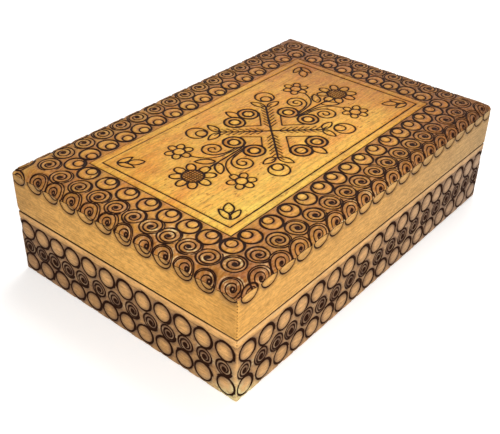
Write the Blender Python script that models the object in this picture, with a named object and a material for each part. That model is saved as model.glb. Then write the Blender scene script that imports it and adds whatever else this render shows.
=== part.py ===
"""Wooden jewelry box: a low mitred box with a hinged lid on two brass butt hinges.

Metres, +Z up. The origin is the centre of the flat underside. +X runs along the box, -Y is the
front, and the hinges are at the back, +Y.
"""

import math

import bmesh
import bpy
from mathutils import Matrix, Vector

# Overall sizes
BOX_LENGTH = 0.200
BOX_WIDTH = 0.131
BASE_HEIGHT = 0.0327
LID_HEIGHT = 0.0236
SEAM_GAP = 0.0003

# Boards
WALL_THICKNESS = 0.008
TOP_THICKNESS = 0.0043
BOTTOM_THICKNESS = 0.004
REBATE_WIDTH = 0.004
GLUE_GAP = 0.0003

# Rounded edges of the boards
TOP_EDGE_RADIUS = 0.0064
LID_CORNER_RADIUS = 0.0012
BASE_CORNER_RADIUS = 0.0024
FOOT_EASING = 0.0008
SEAM_EASING = 0.0004
LEAST_CORNER = 0.0002

# Chamfer along the back lower edge of the lid, which rests on the base when the lid is open
CHAMFER_DEPTH = 0.0020
CHAMFER_HEIGHT = 0.0030

# Hinges
HINGE_END_DISTANCE = 0.040
HINGE_LENGTH = 0.025
KNUCKLE_RADIUS = 0.0012
KNUCKLE_INSET = 0.0012
KNUCKLE_GAP = 0.0003
LEAF_THICKNESS = 0.0007
LEAF_LAND = 0.0008
LEAF_CORNER_RADIUS = 0.0008
PIN_RADIUS = 0.0005
PIN_CLEARANCE = 0.0001
PIN_DOME = 0.0002
FIT_GAP = 0.0003

# Screws
SCREW_END_DISTANCE = 0.005
SCREW_HEAD_RADIUS = 0.0013
SCREW_HEAD_HEIGHT = 0.0005
SCREW_SHANK_RADIUS = 0.0006
SCREW_LENGTH = 0.0065
SCREW_TIP_LENGTH = 0.0016
SCREW_TIP_RADIUS = 0.0001
SCREW_RECESS = 0.00005
SLOT_WIDTH = 0.0003
SLOT_DEPTH = 0.00025

# How far every cut runs past the face that it opens
OVERRUN = 0.001

# Counts
KNUCKLE_COUNT = 5
CORNER_STEPS = 6
EDGE_STEPS = 10
EASING_STEPS = 3
ROUND_STEPS = 28

SEAM_HEIGHT = BASE_HEIGHT + SEAM_GAP / 2
LID_BOTTOM = BASE_HEIGHT + SEAM_GAP
BOX_HEIGHT = LID_BOTTOM + LID_HEIGHT
LID_WALL_HEIGHT = LID_HEIGHT - TOP_THICKNESS - GLUE_GAP
HINGE_AXIS = Vector((0, BOX_WIDTH / 2 - KNUCKLE_INSET, SEAM_HEIGHT))
LEAF_NEAR_EDGE = KNUCKLE_RADIUS + FIT_GAP
LEAF_FAR_EDGE = WALL_THICKNESS - KNUCKLE_INSET - LEAF_LAND - FIT_GAP
SCREW_ROW = (LEAF_NEAR_EDGE + LEAF_FAR_EDGE) / 2


def clear_scene():
    for old in list(bpy.data.objects):
        bpy.data.objects.remove(old, do_unlink=True)


def make_material(name, color, roughness, metallic):
    material = bpy.data.materials.new(name)
    material.use_nodes = True
    shader = material.node_tree.nodes["Principled BSDF"]
    shader.inputs["Base Color"].default_value = (*color, 1.0)
    shader.inputs["Roughness"].default_value = roughness
    shader.inputs["Metallic"].default_value = metallic
    material.diffuse_color = (*color, 1.0)
    return material


def make_empty(name, location):
    empty = bpy.data.objects.new(name, None)
    empty.location = location
    bpy.context.scene.collection.objects.link(empty)
    return empty


def make_object(name, mesh, parent, location, turn=0.0, tilt=0.0):
    """Link one mesh as an object. The location is in the world, and the turn is about Z."""
    piece = bpy.data.objects.new(name, mesh)
    piece.parent = parent
    piece.location = Vector(location) - (parent.location if parent else Vector())
    piece.rotation_euler = (tilt, 0, turn)
    bpy.context.scene.collection.objects.link(piece)
    return piece


def finish_mesh(bm, name, smooth=False):
    bmesh.ops.recalc_face_normals(bm, faces=bm.faces)
    mesh = bpy.data.meshes.new(name)
    bm.to_mesh(mesh)
    bm.free()
    if smooth:
        mesh.shade_smooth()
        mesh.set_sharp_from_angle(angle=math.radians(35))
    return mesh


def loft(bm, rings):
    """Skin closed rings of equally many points, from bottom to top, and cap both ends."""
    loops = [[bm.verts.new(point) for point in ring] for ring in rings]
    count = len(loops[0])
    for lower, upper in zip(loops, loops[1:]):
        for i in range(count):
            j = (i + 1) % count
            bm.faces.new((lower[i], lower[j], upper[j], upper[i]))
    bm.faces.new(reversed(loops[0]))
    bm.faces.new(loops[-1])


def arc(center_x, center_y, radius, start, end, steps):
    """Points on an arc, both ends included."""
    points = []
    for i in range(steps + 1):
        angle = start + (end - start) * i / steps
        points.append((center_x + radius * math.cos(angle), center_y + radius * math.sin(angle)))
    return points


def easing_profile(height, lower, upper):
    """Inset and height of each ring of a wall whose outer edges are rounded over."""
    profile = []
    for i in range(EASING_STEPS + 1 if lower else 1):
        angle = math.pi / 2 * i / EASING_STEPS
        profile.append((lower * (1 - math.sin(angle)), lower * (1 - math.cos(angle))))
    for i in range(EASING_STEPS + 1 if upper else 1):
        angle = math.pi / 2 * i / EASING_STEPS
        profile.append((upper * (1 - math.cos(angle)), height - upper * (1 - math.sin(angle))))
    return profile


def wall_outline(length, corner_radius, inset):
    """Plan of one mitred wall: outer face on the X axis, inner face at WALL_THICKNESS.

    The outer face steps in by the inset, and its ends curve round to the mitre.
    """
    radius = max(corner_radius - inset, LEAST_CORNER)
    mitre_shift = GLUE_GAP / 2 * math.sqrt(2)
    half = length / 2
    # Where the corner's circle, seen from its own centre, meets the shifted mitre plane
    across = (-mitre_shift - math.sqrt(2 * radius ** 2 - mitre_shift ** 2)) / 2
    mitre_angle = math.atan2(across, across + mitre_shift) + 2 * math.pi
    center = inset + radius
    left = arc(center - half, center, radius, mitre_angle, 1.5 * math.pi, CORNER_STEPS)
    right = [(-x, y) for x, y in reversed(left)]
    inner = half - WALL_THICKNESS - mitre_shift
    return left + right + [(inner, WALL_THICKNESS), (-inner, WALL_THICKNESS)]


def wall_mesh(name, length, height, corner_radius, lower_easing, upper_easing):
    bm = bmesh.new()
    rings = []
    for inset, z in easing_profile(height, lower_easing, upper_easing):
        rings.append([(x, y, z) for x, y in wall_outline(length, corner_radius, inset)])
    loft(bm, rings)
    return finish_mesh(bm, name, smooth=True)


def panel_outline(length, width, corner_radius, inset):
    """Plan of a rounded rectangle about the origin, stepped in by the inset."""
    radius = max(corner_radius - inset, LEAST_CORNER)
    x = length / 2 - inset - radius
    y = width / 2 - inset - radius
    points = []
    for quarter, (center_x, center_y) in enumerate([(x, y), (-x, y), (-x, -y), (x, -y)]):
        start = quarter * math.pi / 2
        points += arc(center_x, center_y, radius, start, start + math.pi / 2, CORNER_STEPS)
    return points


def box_mesh(name, size_x, size_y, size_z):
    """A block that stands on the XY plane, centred on the Z axis."""
    bm = bmesh.new()
    bmesh.ops.create_cube(bm, size=1.0)
    bmesh.ops.transform(bm, matrix=Matrix.Diagonal((size_x, size_y, size_z, 1)), verts=bm.verts)
    bmesh.ops.translate(bm, vec=(0, 0, size_z / 2), verts=bm.verts)
    return finish_mesh(bm, name)


def prism_mesh(name, outline, length, smooth=False):
    """Extrude an outline of (y, z) points along X, centred on the YZ plane."""
    bm = bmesh.new()
    loft(bm, [[(x, y, z) for y, z in outline] for x in (-length / 2, length / 2)])
    return finish_mesh(bm, name, smooth)


def turned_rings(profile, center=(0, 0, 0), axis="Z"):
    """Rings of a turned piece from (radius, height) pairs that run from its low end up."""
    rings = []
    for radius, height in profile:
        ring = []
        for i in range(ROUND_STEPS):
            angle = 2 * math.pi * i / ROUND_STEPS
            u, v = radius * math.cos(angle), radius * math.sin(angle)
            local = Vector((u, v, height)) if axis == "Z" else Vector((height, u, v))
            ring.append(Vector(center) + local)
        rings.append(ring)
    return rings


def turned_mesh(name, profile, centers, axis="Z"):
    """One mesh of equal turned solids, one at each centre."""
    bm = bmesh.new()
    for center in centers:
        loft(bm, turned_rings(profile, center, axis))
    return finish_mesh(bm, name, smooth=True)


def cut(piece, cutters, operation="DIFFERENCE"):
    for cutter in cutters:
        modifier = piece.modifiers.new(cutter.name, "BOOLEAN")
        modifier.operation = operation
        modifier.solver = "EXACT"
        modifier.object = cutter


def make_cutter(name, mesh, parent, location, tilt=0.0):
    cutter = make_object(name, mesh, parent, location, tilt=tilt)
    cutter.hide_render = True
    cutter.display_type = "WIRE"
    return cutter


def build_walls(prefix, parent, bottom, height, corner_radius, lower, upper, material):
    """Four mitred walls round one tray. Returns them by side."""
    sides = {
        "front": (BOX_LENGTH, (0, -BOX_WIDTH / 2, bottom), 0),
        "right": (BOX_WIDTH, (BOX_LENGTH / 2, 0, bottom), math.pi / 2),
        "back": (BOX_LENGTH, (0, BOX_WIDTH / 2, bottom), math.pi),
        "left": (BOX_WIDTH, (-BOX_LENGTH / 2, 0, bottom), 1.5 * math.pi),
    }
    walls = {}
    for side, (length, location, turn) in sides.items():
        name = f"{prefix}_{side}_wall"
        mesh = wall_mesh(name, length, height, corner_radius, lower, upper)
        mesh.materials.append(material)
        walls[side] = make_object(name, mesh, parent, location, turn)
    return walls


def build_base(material, inner_material):
    walls = build_walls("base", None, 0, BASE_HEIGHT, BASE_CORNER_RADIUS, FOOT_EASING,
                        SEAM_EASING, material)
    rebate_length = BOX_LENGTH - 2 * (WALL_THICKNESS - REBATE_WIDTH)
    rebate_width = BOX_WIDTH - 2 * (WALL_THICKNESS - REBATE_WIDTH)
    rebate_height = BOTTOM_THICKNESS + GLUE_GAP
    rebate = make_cutter("rebate_cutter",
                         box_mesh("rebate_cutter", rebate_length, rebate_width,
                                  rebate_height + OVERRUN),
                         None, (0, 0, -OVERRUN))
    for wall in walls.values():
        cut(wall, [rebate])
    panel = box_mesh("base_bottom_panel", rebate_length - 2 * GLUE_GAP,
                     rebate_width - 2 * GLUE_GAP, BOTTOM_THICKNESS)
    panel.materials.append(inner_material)
    make_object("base_bottom_panel", panel, None, (0, 0, 0))
    return walls


def top_panel_mesh(name):
    """The lid's board: its edge rolls over in one arc that stops at its lower face."""
    drop = min(TOP_THICKNESS, TOP_EDGE_RADIUS)
    last_angle = math.acos((TOP_EDGE_RADIUS - drop) / TOP_EDGE_RADIUS)
    reach = TOP_EDGE_RADIUS * math.sin(last_angle)
    profile = [(0, 0)] if drop < TOP_THICKNESS else []
    for i in range(EDGE_STEPS + 1):
        angle = last_angle * (EDGE_STEPS - i) / EDGE_STEPS
        inset = reach - TOP_EDGE_RADIUS * math.sin(angle)
        profile.append((inset, TOP_THICKNESS - TOP_EDGE_RADIUS * (1 - math.cos(angle))))
    bm = bmesh.new()
    rings = []
    for inset, z in profile:
        outline = panel_outline(BOX_LENGTH, BOX_WIDTH, LID_CORNER_RADIUS, inset)
        rings.append([(x, y, z) for x, y in outline])
    loft(bm, rings)
    return finish_mesh(bm, name, smooth=True)


def build_lid(pivot, material):
    walls = build_walls("lid", pivot, LID_BOTTOM, LID_WALL_HEIGHT, LID_CORNER_RADIUS,
                        SEAM_EASING, 0, material)
    # The chamfer's plane, run past both of its edges
    slope = CHAMFER_HEIGHT / CHAMFER_DEPTH
    low = (-CHAMFER_DEPTH - OVERRUN, -OVERRUN * slope)
    high = (OVERRUN, CHAMFER_HEIGHT + OVERRUN * slope)
    outline = [low, (high[0], low[1]), high]
    chamfer = make_cutter("chamfer_cutter",
                          prism_mesh("chamfer_cutter", outline, BOX_LENGTH + 2 * OVERRUN),
                          pivot, (0, BOX_WIDTH / 2, LID_BOTTOM))
    for side in ("back", "left", "right"):
        cut(walls[side], [chamfer])
    panel = top_panel_mesh("lid_top_panel")
    panel.materials.append(material)
    make_object("lid_top_panel", panel, pivot, (0, 0, BOX_HEIGHT - TOP_THICKNESS))
    return walls


def knuckle_profile(direction):
    """Section of one knuckle and its neck, in (y, z) about the pin. The leaf lies at -Y."""
    near = SEAM_GAP / 2
    far = near + LEAF_THICKNESS
    start = math.pi + math.asin(near / KNUCKLE_RADIUS)
    end = -math.pi + math.asin(far / KNUCKLE_RADIUS)
    outline = arc(0, 0, KNUCKLE_RADIUS, start, end, ROUND_STEPS)
    neck_end = LEAF_NEAR_EDGE + (LEAF_FAR_EDGE - LEAF_NEAR_EDGE) / ROUND_STEPS
    outline += [(-neck_end, -far), (-neck_end, -near)]
    return [(y, -z * direction) for y, z in outline]


def leaf_plate_mesh(name, direction):
    """The flat of one leaf, with its two inner corners rounded."""
    near = SEAM_GAP / 2
    x = HINGE_LENGTH / 2 - LEAF_CORNER_RADIUS
    y = -LEAF_FAR_EDGE + LEAF_CORNER_RADIUS
    plan = arc(-x, y, LEAF_CORNER_RADIUS, math.pi, 1.5 * math.pi, CORNER_STEPS)
    plan += arc(x, y, LEAF_CORNER_RADIUS, 1.5 * math.pi, 2 * math.pi, CORNER_STEPS)
    plan += [(HINGE_LENGTH / 2, -LEAF_NEAR_EDGE), (-HINGE_LENGTH / 2, -LEAF_NEAR_EDGE)]
    heights = sorted((direction * near, direction * (near + LEAF_THICKNESS)))
    bm = bmesh.new()
    loft(bm, [[(x, y, z) for x, y in plan] for z in heights])
    return finish_mesh(bm, name)


def screw_places():
    x = HINGE_LENGTH / 2 - SCREW_END_DISTANCE
    return [(-x, -SCREW_ROW), (x, -SCREW_ROW)]


def screw_profile():
    """A countersunk wood screw, its head at the top and its point below."""
    return [
        (SCREW_TIP_RADIUS, -SCREW_LENGTH),
        (SCREW_SHANK_RADIUS, -SCREW_LENGTH + SCREW_TIP_LENGTH),
        (SCREW_SHANK_RADIUS, -SCREW_HEAD_HEIGHT),
        (SCREW_HEAD_RADIUS, 0),
    ]


def countersink_profile():
    return [
        (SCREW_SHANK_RADIUS + FIT_GAP, -LEAF_THICKNESS - OVERRUN),
        (SCREW_SHANK_RADIUS + FIT_GAP, -SCREW_HEAD_HEIGHT),
        (SCREW_HEAD_RADIUS + FIT_GAP, 0),
        (SCREW_HEAD_RADIUS + FIT_GAP, OVERRUN),
    ]


def pilot_profile():
    return [
        (SCREW_SHANK_RADIUS + FIT_GAP, -SCREW_LENGTH - FIT_GAP),
        (SCREW_SHANK_RADIUS + FIT_GAP, 0),
    ]


def build_leaf(name, parent, axis, direction, knuckles, wall, brass):
    """One leaf with its knuckles, its seat in the wall's edge, and its two screws.

    The direction is 1 for the lid's leaf, above the seam, and -1 for the base's.
    """
    plate = leaf_plate_mesh(name, direction)
    plate.materials.append(brass)
    leaf = make_object(name, plate, parent, axis)
    pitch = (HINGE_LENGTH + KNUCKLE_GAP) / KNUCKLE_COUNT
    profile = knuckle_profile(direction)
    for index in knuckles:
        place = axis + Vector((-HINGE_LENGTH / 2 + pitch * index + (pitch - KNUCKLE_GAP) / 2, 0, 0))
        mesh = prism_mesh(f"{name}_knuckle_{index}", profile, pitch - KNUCKLE_GAP, smooth=True)
        cut(leaf, [make_cutter(f"{name}_knuckle_{index}", mesh, parent, place)], "UNION")
    bore_radius = PIN_RADIUS + PIN_CLEARANCE
    half = HINGE_LENGTH / 2 + OVERRUN
    bore = turned_mesh(f"{name}_bore", [(bore_radius, -half), (bore_radius, half)],
                       [(0, 0, 0)], "X")
    cut(leaf, [make_cutter(f"{name}_bore", bore, parent, axis)])

    # The leaf's open face, where the screw heads sit
    tilt = math.pi if direction > 0 else 0
    face = axis + Vector((0, 0, direction * SEAM_GAP / 2))
    places = [(x, y * math.cos(tilt), 0) for x, y in screw_places()]
    sinks = turned_mesh(f"{name}_countersink", countersink_profile(), places)
    cut(leaf, [make_cutter(f"{name}_countersink", sinks, parent, face, tilt)])

    pilots = turned_mesh(f"{name}_pilot", pilot_profile(), places)
    groove_radius = KNUCKLE_RADIUS + FIT_GAP
    half = HINGE_LENGTH / 2 + FIT_GAP
    groove = turned_mesh(f"{name}_groove", [(groove_radius, -half), (groove_radius, half)],
                         [(0, 0, 0)], "X")
    depth = SEAM_GAP / 2 + LEAF_THICKNESS + FIT_GAP
    mortise = box_mesh(f"{name}_mortise", 2 * half, LEAF_FAR_EDGE + FIT_GAP, 2 * depth)
    mortise_place = axis + Vector((0, -(LEAF_FAR_EDGE + FIT_GAP) / 2, -depth))
    cut(wall, [
        make_cutter(f"{name}_groove", groove, parent, axis),
        make_cutter(f"{name}_mortise", mortise, parent, mortise_place),
        make_cutter(f"{name}_pilot", pilots, parent, face, tilt),
    ])

    # The slot runs across the leaf, through the middle of each head
    seat = face + Vector((0, 0, direction * SCREW_RECESS))
    slot_mesh = box_mesh(f"{name}_slot", SLOT_WIDTH, 2 * SCREW_HEAD_RADIUS + 2 * OVERRUN,
                         SLOT_DEPTH + OVERRUN)
    for number, (x, y) in enumerate(screw_places(), start=1):
        mesh = turned_mesh(f"{name}_screw_{number}", screw_profile(), [(0, 0, 0)])
        mesh.materials.append(brass)
        place = seat + Vector((x, y, 0))
        screw = make_object(f"{name}_screw_{number}", mesh, parent, place, tilt=tilt)
        slot_place = place + Vector((0, 0, direction * SLOT_DEPTH))
        cut(screw, [make_cutter(f"{name}_slot_{number}", slot_mesh, parent, slot_place, tilt)])


def build_hinge(name, x, pivot, base_wall, lid_wall, brass, steel):
    axis = HINGE_AXIS + Vector((x, 0, 0))
    build_leaf(f"{name}_base_leaf", None, axis, -1, range(0, KNUCKLE_COUNT, 2), base_wall, brass)
    build_leaf(f"{name}_lid_leaf", pivot, axis, 1, range(1, KNUCKLE_COUNT, 2), lid_wall, brass)
    half = HINGE_LENGTH / 2
    shoulder = PIN_RADIUS - PIN_DOME
    profile = [(shoulder, -half), (PIN_RADIUS, PIN_DOME - half), (PIN_RADIUS, half - PIN_DOME),
               (shoulder, half)]
    pin = turned_mesh(f"{name}_pin", profile, [(0, 0, 0)], "X")
    pin.materials.append(steel)
    make_object(f"{name}_pin", pin, None, axis)


def main():
    clear_scene()
    lid_wood = make_material("lid_wood", (0.66, 0.40, 0.13), 0.28, 0.0)
    base_wood = make_material("base_wood", (0.46, 0.29, 0.13), 0.36, 0.0)
    plain_wood = make_material("plain_wood", (0.74, 0.55, 0.32), 0.55, 0.0)
    brass = make_material("brass", (0.78, 0.57, 0.24), 0.30, 1.0)
    steel = make_material("pin_steel", (0.60, 0.55, 0.45), 0.35, 1.0)
    pivot = make_empty("lid_pivot", HINGE_AXIS)
    base = build_base(base_wood, plain_wood)
    lid = build_lid(pivot, lid_wood)
    offset = BOX_LENGTH / 2 - HINGE_END_DISTANCE
    for name, x in (("hinge_left", -offset), ("hinge_right", offset)):
        build_hinge(name, x, pivot, base["back"], lid["back"], brass, steel)


main()
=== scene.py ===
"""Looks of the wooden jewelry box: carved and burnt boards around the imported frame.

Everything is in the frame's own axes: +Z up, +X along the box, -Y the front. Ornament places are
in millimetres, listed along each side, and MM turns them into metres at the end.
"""

import math
from collections import namedtuple

import bmesh
import bpy
import numpy as np
from mathutils import Matrix, Vector
from mathutils.geometry import delaunay_2d_cdt


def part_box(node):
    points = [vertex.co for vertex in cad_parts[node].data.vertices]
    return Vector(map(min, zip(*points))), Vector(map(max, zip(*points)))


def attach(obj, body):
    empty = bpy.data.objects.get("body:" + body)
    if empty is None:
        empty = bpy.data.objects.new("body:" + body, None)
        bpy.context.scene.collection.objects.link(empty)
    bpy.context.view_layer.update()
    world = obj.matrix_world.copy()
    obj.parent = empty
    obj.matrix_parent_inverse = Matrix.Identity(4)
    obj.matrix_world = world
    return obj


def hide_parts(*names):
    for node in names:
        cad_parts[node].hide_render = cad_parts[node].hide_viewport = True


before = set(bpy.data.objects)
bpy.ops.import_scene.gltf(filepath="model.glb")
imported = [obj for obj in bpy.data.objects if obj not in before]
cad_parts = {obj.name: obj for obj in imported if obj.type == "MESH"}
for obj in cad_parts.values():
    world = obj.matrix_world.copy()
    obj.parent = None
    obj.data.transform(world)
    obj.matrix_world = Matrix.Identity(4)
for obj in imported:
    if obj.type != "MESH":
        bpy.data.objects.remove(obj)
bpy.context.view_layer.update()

MM = 0.001
RNG = np.random.default_rng(41)

# Sizes read from the frame, in millimetres
PANEL_LOW, PANEL_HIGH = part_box("lid_top_panel")
BASE_LOW, BASE_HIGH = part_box("base_front_wall")
LENGTH = (PANEL_HIGH.x - PANEL_LOW.x) / MM
WIDTH = (PANEL_HIGH.y - PANEL_LOW.y) / MM
TOP = PANEL_HIGH.z / MM
CREASE = PANEL_LOW.z / MM
LID_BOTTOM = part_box("lid_front_wall")[0].z / MM
BASE_TOP = BASE_HIGH.z / MM
WALL = (BASE_HIGH.y - BASE_LOW.y) / MM

# Sizes repeated from part.py, in millimetres
FIT_GAP = 0.3
EDGE_RADIUS = 6.4
FOOT_EASING = 0.8
SEAM_EASING = 0.4
REBATE_WIDTH = 4.0
REBATE_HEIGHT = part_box("base_bottom_panel")[1].z / MM + FIT_GAP
CHAMFER_DEPTH = 2.0
CHAMFER_HEIGHT = 3.0
KNUCKLE_SEAT = 1.5
LEAF_SEAT = 1.15

# The vertical corners, which are crisper than the solids'
LID_CORNER = 0.8
BASE_CORNER = 1.0

# The rounded edge of the lid's board: its angle at the crease, its reach in plan and its arc
EDGE_ANGLE = math.acos((EDGE_RADIUS - (TOP - CREASE)) / EDGE_RADIUS)
EDGE_REACH = EDGE_RADIUS * math.sin(EDGE_ANGLE)
EDGE_ARC = EDGE_RADIUS * EDGE_ANGLE
HALF_X = LENGTH / 2 - EDGE_REACH + EDGE_ARC
HALF_Y = WIDTH / 2 - EDGE_REACH + EDGE_ARC

# How finely the carved faces are cut, in millimetres
STROKE_STEP = 0.40
RIM_STEP = 0.45
GROUND_STEP = 1.0
EDGE_STEP = 0.62
LEAST_STEP = 0.11
LINE_MARGIN = 0.09
GROUND_MARGIN = 0.25
CELL = 0.42
NORMAL_MARGIN = 0.06
SHARP_ANGLE = math.radians(58)

# The board's flat back is a little smaller than its face, and its walls end just under it
BACK_SHARE = 0.995
CREASE_GAP = 0.02

# What a burnt line does beside its groove, in millimetres
STROKE_MARGIN = 2.4
LINE_SWELL = 0.22
SAG_DEPTH, SAG_REACH = 0.20, 0.80
BURR_GAP, BURR_WIDTH, BURR_HEIGHT = 0.26, 0.17, 0.08
SINGE_REACH = {"panel": 0.40, "band": 0.65, "lid": 0.85, "base": 1.15}

Stroke = namedtuple("Stroke", "points half_width depth burn")
Patch = namedtuple("Patch", "center radius stain soft", defaults=(0.0,))

# What the materials read at each point of a carved face
# The stain field also carries painted shade, the fourth field painted highlights besides wear, and
# the fifth a painted sheen
FIELDS = ("charring", "scorch", "stain", "wear_and_highlight", "painted_sheen_share")


def unit(value):
    return np.clip(value, 0, 1)


def bell(gap, reach, power=2):
    """1 where the gap is 0, falling to nothing past the reach."""
    return np.exp(-np.abs(gap / reach) ** power)


# Lines that the burning tool draws, as chains of points in millimetres

def resample(points):
    """The same chain with points at even distances."""
    points = np.asarray(points, float)
    run = np.concatenate([[0], np.cumsum(np.linalg.norm(np.diff(points, axis=0), axis=1))])
    count = max(2, int(round(run[-1] / STROKE_STEP)) + 1)
    at = np.linspace(0, run[-1], count)
    return np.stack([np.interp(at, run, points[:, k]) for k in (0, 1)], axis=1)


def smooth_curve(points):
    """A curve through a few chosen points."""
    p = np.asarray(points, float)
    p = np.vstack([2 * p[0] - p[1], p, 2 * p[-1] - p[-2]])
    t = np.linspace(0, 1, 12, endpoint=False)[:, None]
    chain = []
    for a, b, c, d in zip(p, p[1:], p[2:], p[3:]):
        chain.append(0.5 * (2 * b + (c - a) * t + (2 * a - 5 * b + 4 * c - d) * t ** 2
                            + (3 * b - 3 * c + d - a) * t ** 3))
    return np.vstack(chain + [p[-2:-1]])


def around(center, radius, angle):
    return np.stack([center[0] + radius * np.cos(angle),
                     center[1] + radius * np.sin(angle)], axis=1)


def ring(center, radius, wobble=0.03):
    """A circle drawn by hand: slightly oval and uneven."""
    angle = np.linspace(0, 2 * math.pi, 49)
    phase = RNG.uniform(0, 2 * math.pi, 2)
    uneven = 1 + wobble * (0.6 * np.cos(2 * angle + phase[0]) + 0.4 * np.cos(3 * angle + phase[1]))
    return around(center, radius * uneven, angle)


def spiral(center, radius, turns, start, heart, lean, hold):
    """A spiral that winds inwards from its rim, after it has held its radius for some turns.

    The lean moves its heart off the middle, and a radius of two numbers makes it oval.
    """
    share = np.linspace(0, 1, int(turns * 26))
    angle = start - share * turns * 2 * math.pi
    inwards = np.clip((share * turns - hold) / (turns - hold), 0, 1)
    size = np.asarray(radius, float) * np.ones(2)
    reach = heart / size.mean() + (1 - heart / size.mean()) * (1 - inwards) ** 0.95
    turn = np.stack([np.cos(angle), np.sin(angle)], axis=1) * reach[:, None]
    return np.asarray(center, float) + turn * size + np.outer(inwards, lean)


def leaf(base, tip, width):
    """The outline of a leaf, blunt at its base and pointed at its tip."""
    base, tip = np.asarray(base, float), np.asarray(tip, float)
    along = tip - base
    side = np.array([-along[1], along[0]]) / np.linalg.norm(along)
    share = np.linspace(0, 1, 17)
    swell = width / 2 * np.sin(math.pi * share ** 0.85) ** 0.75
    left = base + np.outer(share, along) + np.outer(swell, side)
    right = base + np.outer(share, along) - np.outer(swell, side)
    return np.vstack([left, right[::-1]])


def petal(center, angle, inner, outer, width):
    """One egg-shaped petal, open where it meets the heart of its flower."""
    t = np.linspace(-1, 1, 25)
    reach = inner + (outer - inner) * (1 - np.abs(t) ** 2.2)
    swing = width / 2 * np.sin(math.pi * t * 0.5) * unit(1.25 - np.abs(t) ** 4 * 0.55)
    across = np.array([-math.sin(angle), math.cos(angle)])
    ahead = np.array([math.cos(angle), math.sin(angle)])
    return np.asarray(center) + np.outer(reach, ahead) + np.outer(swing, across)


def burnt(points, kind):
    """A stroke of one kind along some points."""
    return Stroke(resample(points), *LINES[kind])


def turned(points, quarter):
    """Points turned about the origin by quarter turns."""
    c, s = ((1, 0), (0, 1), (-1, 0), (0, -1))[quarter]
    points = np.asarray(points, float)
    return np.stack([c * points[..., 0] - s * points[..., 1],
                     s * points[..., 0] + c * points[..., 1]], axis=-1)


# Places along each side in millimetres, from its left end as seen from outside
SIDES = ("front", "right", "back", "left")
SHORT_SIDES = ("right", "left")
NEAR_SIDES = ("front", "left")
SIDE_LENGTH = {"front": LENGTH, "right": WIDTH, "back": LENGTH, "left": WIDTH}

ROW_RINGS = {
    "front": (29.4, 42.1, 53.5, 65.0, 76.2, 86.7, 97.2, 107.8, 118.9, 129.8, 140.2, 150.3, 160.7,
              171.0),
    "right": (30.4, 40.0, 49.7, 59.1, 68.9, 79.1, 89.1, 99.7),
    "back": (30.0, 41.2, 52.5, 63.7, 74.6, 85.0, 95.6, 106.2, 117.1, 128.1, 138.7, 149.0, 159.6,
             170.4),
    "left": (30.5, 42.4, 54.6, 67.1, 78.8, 90.0, 100.4),
}
ROW_SPIRALS = {
    "front": (22.5, 34.5, 45.8, 57.8, 69.6, 80.5, 91.5, 102.5, 112.9, 123.5, 134.6, 144.8, 155.2,
              166.7, 177.5),
    "right": (22.3, 32.6, 43.2, 54.0, 64.4, 75.0, 85.8, 96.4, 107.4),
    "back": (22.0, 32.9, 44.0, 55.2, 66.3, 77.1, 87.7, 98.9, 109.6, 120.7, 131.8, 142.9, 154.0,
             165.7, 177.9),
    "left": (24.0, 35.8, 47.8, 59.0, 69.1, 78.8, 88.5, 98.8, 109.2),
}
EDGE_HEARTS = {
    "front": (4.8, 14.9, 26.8, 39.0, 51.0, 63.2, 74.2, 85.0, 96.2, 107.2, 118.0, 128.4, 139.5,
              150.0, 160.8, 171.5, 182.0, 192.5),
    "back": (6.5, 17.8, 29.4, 40.6, 51.7, 63.0, 74.3, 85.4, 96.2, 107.3, 118.2, 129.5, 140.4,
             151.6, 162.3, 173.5, 184.6, 194.6),
}
SCALLOPS = {
    "front": (7.2, 18.7, 29.6, 40.4, 51.5, 62.1, 72.8, 83.4, 93.8, 104.2, 115.0, 125.8, 136.0,
              146.5, 157.1, 167.1, 177.5, 187.2, 196.0),
    "right": (5.2, 16.0, 27.0, 38.2, 49.0, 59.8, 71.0, 82.1, 93.0, 104.2, 115.4, 126.2),
    "back": (5.6, 16.4, 27.5, 38.3, 49.4, 60.2, 71.3, 82.0, 92.9, 103.8, 114.9, 125.7, 136.5,
             147.2, 158.1, 168.9, 179.7, 190.3),
    "left": (3.9, 15.4, 26.0, 37.2, 48.4, 59.3, 70.6, 81.9, 92.4, 103.5, 114.5, 125.1),
}
UPPER_DISCS = {
    "front": (6.7, 18.1, 29.4, 41.1, 52.2, 64.0, 75.2, 86.4, 97.5, 108.7, 119.8, 131.0, 142.1,
              152.4, 163.2, 174.2, 185.0, 195.0),
    "left": (5.0, 15.4, 25.6, 35.9, 46.8, 58.2, 69.2, 80.0, 91.1, 102.4, 113.4, 124.6),
}
MIDDLE_SPIRALS = {
    "front": (5.4, 15.4, 25.4, 34.8, 45.4, 56.1, 66.7, 77.9, 89.0, 100.5, 111.3, 122.1, 132.7,
              143.7, 154.4, 165.0, 175.0, 185.2, 195.2),
    "left": (5.0, 13.8, 22.6, 32.0, 41.8, 52.4, 62.5, 73.3, 84.2, 94.2, 104.0, 114.1, 124.4),
}
LOWER_DISCS = {
    "front": (5.4, 16.8, 28.3, 39.3, 50.0, 61.1, 71.9, 82.9, 93.8, 104.8, 116.1, 127.1, 138.1,
              148.8, 160.0, 170.9, 182.6, 194.2),
    "left": (5.2, 15.5, 26.5, 37.3, 47.9, 58.7, 69.4, 80.3, 91.1, 102.4, 113.3, 125.0),
}
for places in (UPPER_DISCS, MIDDLE_SPIRALS, LOWER_DISCS):
    places["back"] = places["front"]
    places["right"] = places["left"]

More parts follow.
